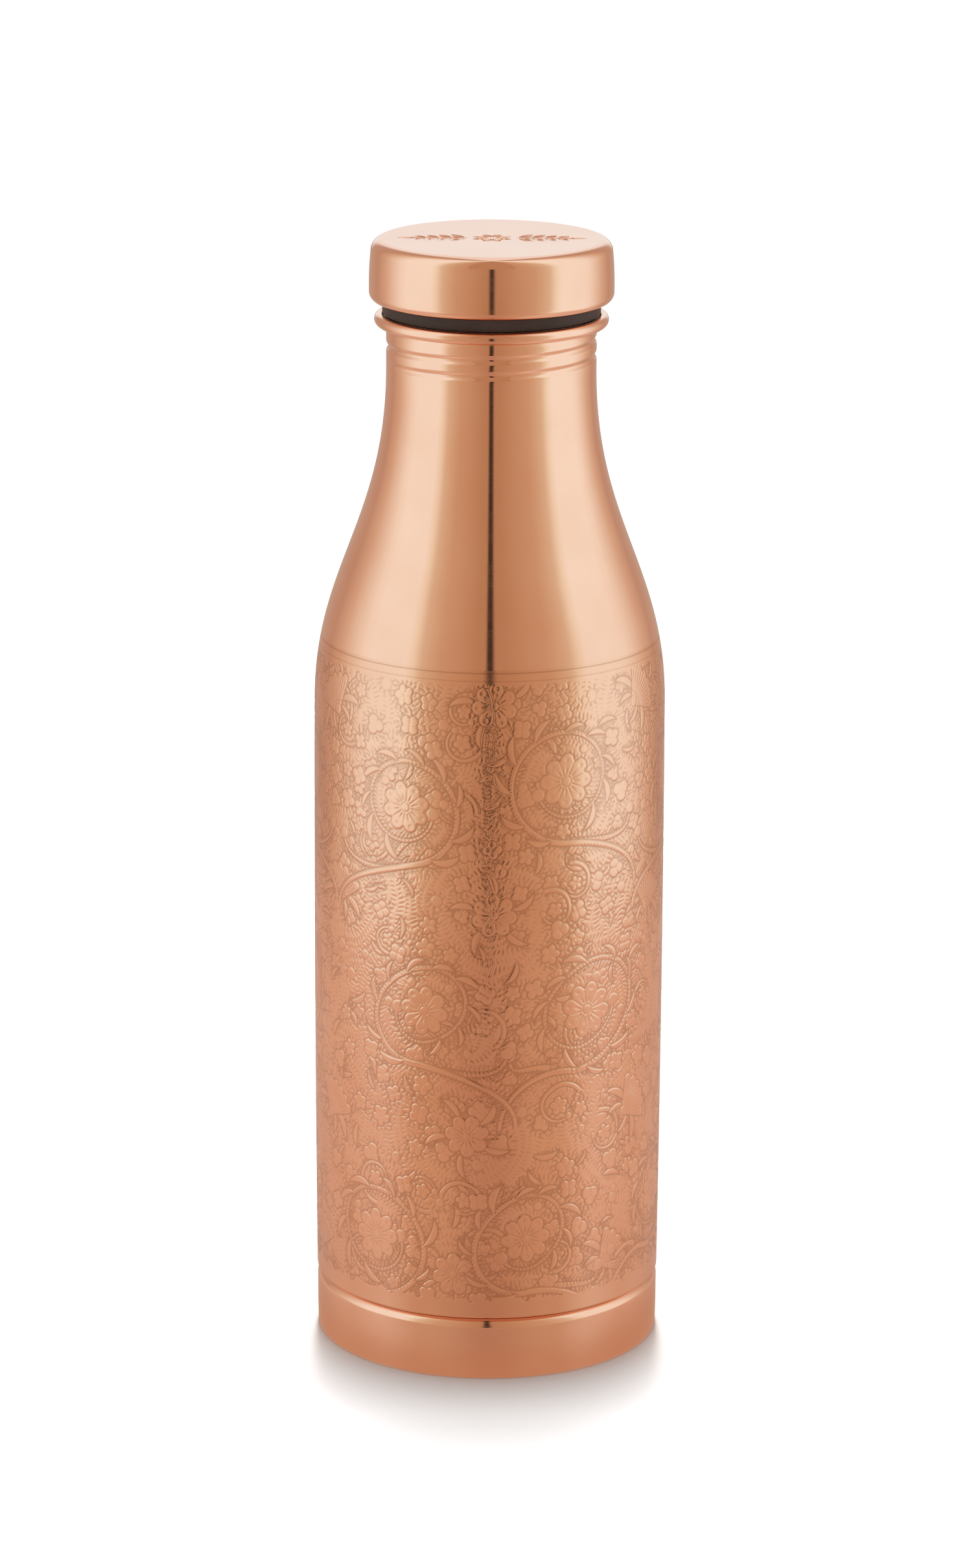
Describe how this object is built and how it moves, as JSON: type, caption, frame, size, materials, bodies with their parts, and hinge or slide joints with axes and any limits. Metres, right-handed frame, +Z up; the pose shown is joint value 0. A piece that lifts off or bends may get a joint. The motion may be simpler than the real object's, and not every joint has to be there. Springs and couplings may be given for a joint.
{
  "type": "water bottle",
  "caption": "Round narrow-necked metal water bottle with a screw lid, a rubber sealing ring, a rolled lip and a separate base cup.",
  "frame": {"origin": "centre of the base, on the surface that the bottle stands on", "axes": "+Z up the bottle's axis, towards the lid; -Y towards the front, where the upper thread groove falls from right to left"},
  "size_m": [0.0782, 0.0782, 0.25],
  "materials": {
    "body_copper": "polished copper, engraved on the body",
    "base_copper": "polished copper",
    "solder": "dull tin solder",
    "lid_copper": "polished copper",
    "plug_copper": "satin copper",
    "gasket_rubber": "matt black"
  },
  "bodies": {
    "bottle": {"body_shell": "body_copper", "base_cup": "base_copper", "solder_ring": "solder"},
    "gasket": {"cap_gasket": "gasket_rubber"},
    "lid": {"cap_shell": "lid_copper", "cap_plug": "plug_copper"}
  },
  "joints": [
    {"name": "cap_rise", "type": "slide", "parent": "bottle", "child": "gasket", "axis": [0, 0, 1], "range_m": [0, 0.00875]},
    {"name": "cap_turn", "type": "hinge", "parent": "gasket", "child": "lid", "pos_m": [0, 0, 0.23366], "axis": [0, 0, 1], "range_deg": [0, 900]}
  ],
  "couplings": [
    {"joint": "cap_rise", "follows": "cap_turn", "m_per_rad": 0.00055704}
  ]
}
